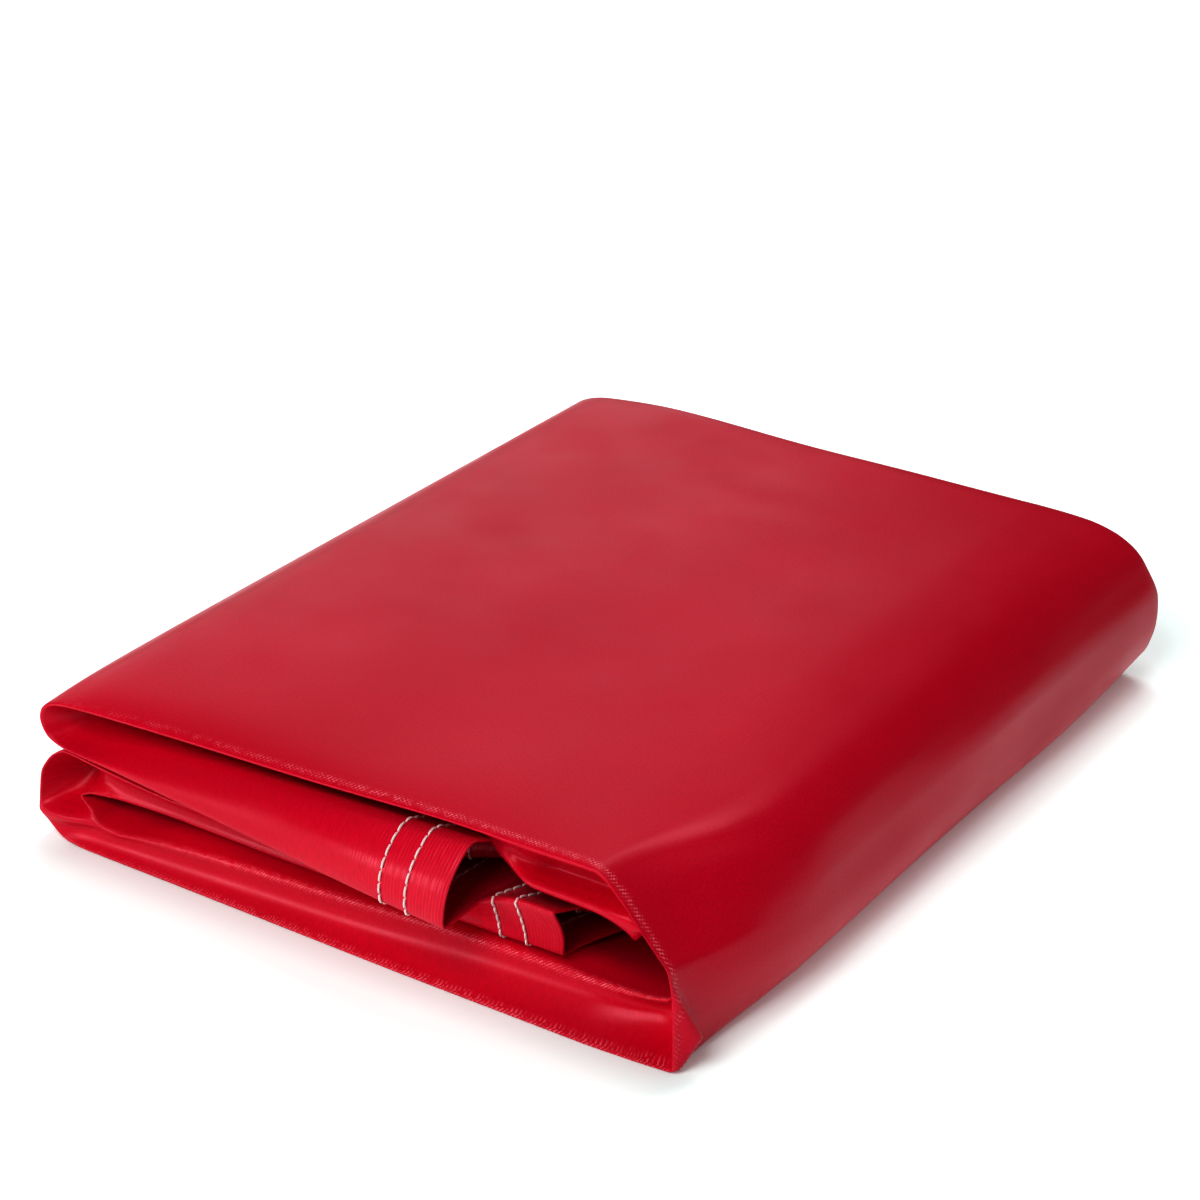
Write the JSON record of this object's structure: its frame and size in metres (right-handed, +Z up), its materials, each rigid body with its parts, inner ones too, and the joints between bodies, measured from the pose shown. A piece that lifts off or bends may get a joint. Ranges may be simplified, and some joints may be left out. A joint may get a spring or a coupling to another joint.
{
  "type": "fire blanket",
  "caption": "Folded fire blanket: a red coated-cloth sheet, hemmed with twin rows of white stitching, folded to a flat pack that opens like a book.",
  "frame": {"origin": "on the floor under the middle of the closed blanket", "axes": "+Z up, +X from the rolls of the two folded-in ends to the spine of the book fold, +Y from the double folds of the strip to its hemmed side"},
  "size_m": [0.318, 0.382, 0.074],
  "materials": {
    "coated_cloth": "satin coating over a fine woven scrim",
    "sewing_thread": "matte twisted thread"
  },
  "bodies": {
    "lower_half": {"bottom_outer_ply": "coated_cloth", "bottom_middle_plies": "coated_cloth", "bottom_inner_ply": "coated_cloth", "bottom_front_fold": "coated_cloth", "bottom_inner_fold": "coated_cloth", "bottom_back_fold": "coated_cloth", "bottom_side_hems": "coated_cloth", "bottom_side_threads": "sewing_thread", "lower_roll_plies": "coated_cloth", "lower_roll_folds": "coated_cloth", "lower_roll_side_hems": "coated_cloth", "lower_roll_side_threads": "sewing_thread", "lower_flap_outer_ply": "coated_cloth", "lower_flap_middle_plies": "coated_cloth", "lower_flap_inner_ply": "coated_cloth", "lower_flap_front_fold": "coated_cloth", "lower_flap_inner_fold": "coated_cloth", "lower_flap_back_fold": "coated_cloth", "lower_flap_side_hems": "coated_cloth", "lower_flap_side_threads": "sewing_thread", "lower_flap_end_hem": "coated_cloth", "lower_flap_needle_threads": "sewing_thread", "lower_flap_bobbin_threads": "sewing_thread"},
    "spine": {"spine_outer_ply": "coated_cloth", "spine_middle_plies": "coated_cloth", "spine_inner_ply": "coated_cloth", "spine_front_fold": "coated_cloth", "spine_inner_fold": "coated_cloth", "spine_back_fold": "coated_cloth", "spine_side_hems": "coated_cloth", "spine_side_threads": "sewing_thread"},
    "upper_half": {"top_outer_ply": "coated_cloth", "top_middle_plies": "coated_cloth", "top_inner_ply": "coated_cloth", "top_front_fold": "coated_cloth", "top_inner_fold": "coated_cloth", "top_back_fold": "coated_cloth", "top_side_hems": "coated_cloth", "top_side_threads": "sewing_thread", "upper_roll_plies": "coated_cloth", "upper_roll_folds": "coated_cloth", "upper_roll_side_hems": "coated_cloth", "upper_roll_side_threads": "sewing_thread", "upper_flap_outer_ply": "coated_cloth", "upper_flap_middle_plies": "coated_cloth", "upper_flap_inner_ply": "coated_cloth", "upper_flap_front_fold": "coated_cloth", "upper_flap_inner_fold": "coated_cloth", "upper_flap_back_fold": "coated_cloth", "upper_flap_side_hems": "coated_cloth", "upper_flap_side_threads": "sewing_thread", "upper_flap_end_hem": "coated_cloth", "upper_flap_needle_threads": "sewing_thread", "upper_flap_bobbin_threads": "sewing_thread"}
  },
  "joints": [
    {"name": "cover_fold", "type": "hinge", "parent": "spine", "child": "upper_half", "pos_m": [0.159, 0, 0.074], "axis": [0, 1, 0], "range_deg": [0, 90]},
    {"name": "spine_fold", "type": "hinge", "parent": "lower_half", "child": "spine", "pos_m": [0.159, 0, 0], "axis": [0, 1, 0], "range_deg": [0, 90]}
  ],
  "couplings": [
    {"joint": "spine_fold", "follows": "cover_fold", "ratio": 1}
  ]
}
